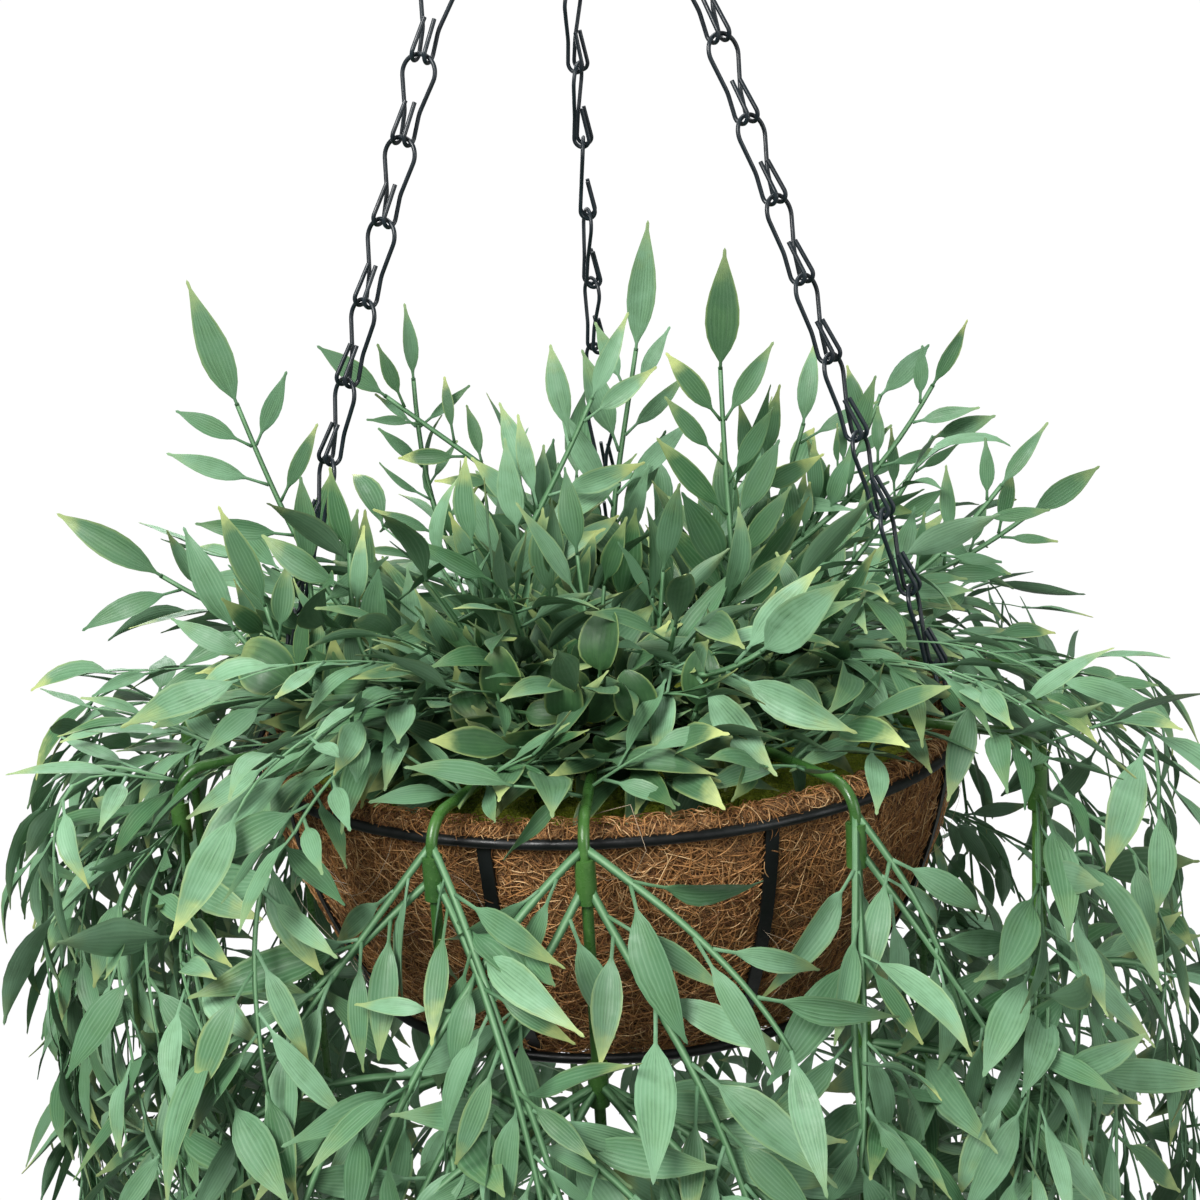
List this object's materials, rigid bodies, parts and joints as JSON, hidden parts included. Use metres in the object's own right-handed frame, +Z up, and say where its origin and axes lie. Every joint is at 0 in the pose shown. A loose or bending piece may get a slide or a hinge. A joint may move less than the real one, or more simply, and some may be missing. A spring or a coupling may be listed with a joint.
{
  "type": "hanging basket",
  "caption": "Round wire hanging basket on link chains, lined with coir felt and planted with trailing artificial greenery around a foam block.",
  "frame": {"origin": "point at the top inside of the open hook that bears on the bracket", "axes": "+Z up along the line of hang; the basket's front faces -Y; +X is to the right seen from the front"},
  "size_m": [0.534, 0.5026, 0.9551],
  "materials": {
    "black_wire": "black semi-gloss coated steel wire",
    "coir": "felted coconut fibre",
    "foam": "fine open foam, olive green",
    "green_stem": "smooth green coated wire",
    "leaves": "matte moulded leaves with parallel veins"
  },
  "bodies": {
    "hanger": {"top_hook": "black_wire"},
    "ring": {"gather_ring": "black_wire"},
    "basket": {"base_hoop": "black_wire", "base_ring": "black_wire", "chain_back": "black_wire", "chain_left": "black_wire", "chain_right": "black_wire", "coir_liner": "coir", "foam_block": "foam", "rib_1": "black_wire", "rib_2": "black_wire", "rib_3": "black_wire", "rib_4": "black_wire", "rib_5": "black_wire", "rib_6": "black_wire", "rib_7": "black_wire", "rib_8": "black_wire", "rib_9": "black_wire", "rim": "black_wire", "rim_link_back": "black_wire", "rim_link_left": "black_wire", "rim_link_right": "black_wire", "sprig_collars": "green_stem", "trailing_leaves_01": "leaves", "trailing_leaves_02": "leaves", "trailing_leaves_03": "leaves", "trailing_leaves_04": "leaves", "trailing_leaves_05": "leaves", "trailing_leaves_06": "leaves", "trailing_leaves_07": "leaves", "trailing_leaves_08": "leaves", "trailing_leaves_09": "leaves", "trailing_leaves_10": "leaves", "trailing_leaves_11": "leaves", "trailing_leaves_12": "leaves", "trailing_stem_01": "green_stem", "trailing_stem_02": "green_stem", "trailing_stem_03": "green_stem", "trailing_stem_04": "green_stem", "trailing_stem_05": "green_stem", "trailing_stem_06": "green_stem", "trailing_stem_07": "green_stem", "trailing_stem_08": "green_stem", "trailing_stem_09": "green_stem", "trailing_stem_10": "green_stem", "trailing_stem_11": "green_stem", "trailing_stem_12": "green_stem", "upright_spray_01": "leaves", "upright_spray_02": "leaves", "upright_spray_03": "leaves", "upright_spray_04": "leaves", "upright_spray_05": "leaves", "upright_spray_06": "leaves", "upright_spray_07": "leaves", "upright_spray_08": "leaves", "upright_spray_09": "leaves", "upright_spray_10": "leaves", "upright_spray_11": "leaves"}
  },
  "joints": [
    {"name": "swing_front_back", "type": "hinge", "parent": "hanger", "child": "ring", "pos_m": [0, 0, -0.068], "axis": [1, 0, 0], "range_deg": [-25, 25]},
    {"name": "swing_side_to_side", "type": "hinge", "parent": "ring", "child": "basket", "pos_m": [0, 0, -0.08644], "axis": [0, 1, 0], "range_deg": [-25, 25]}
  ]
}
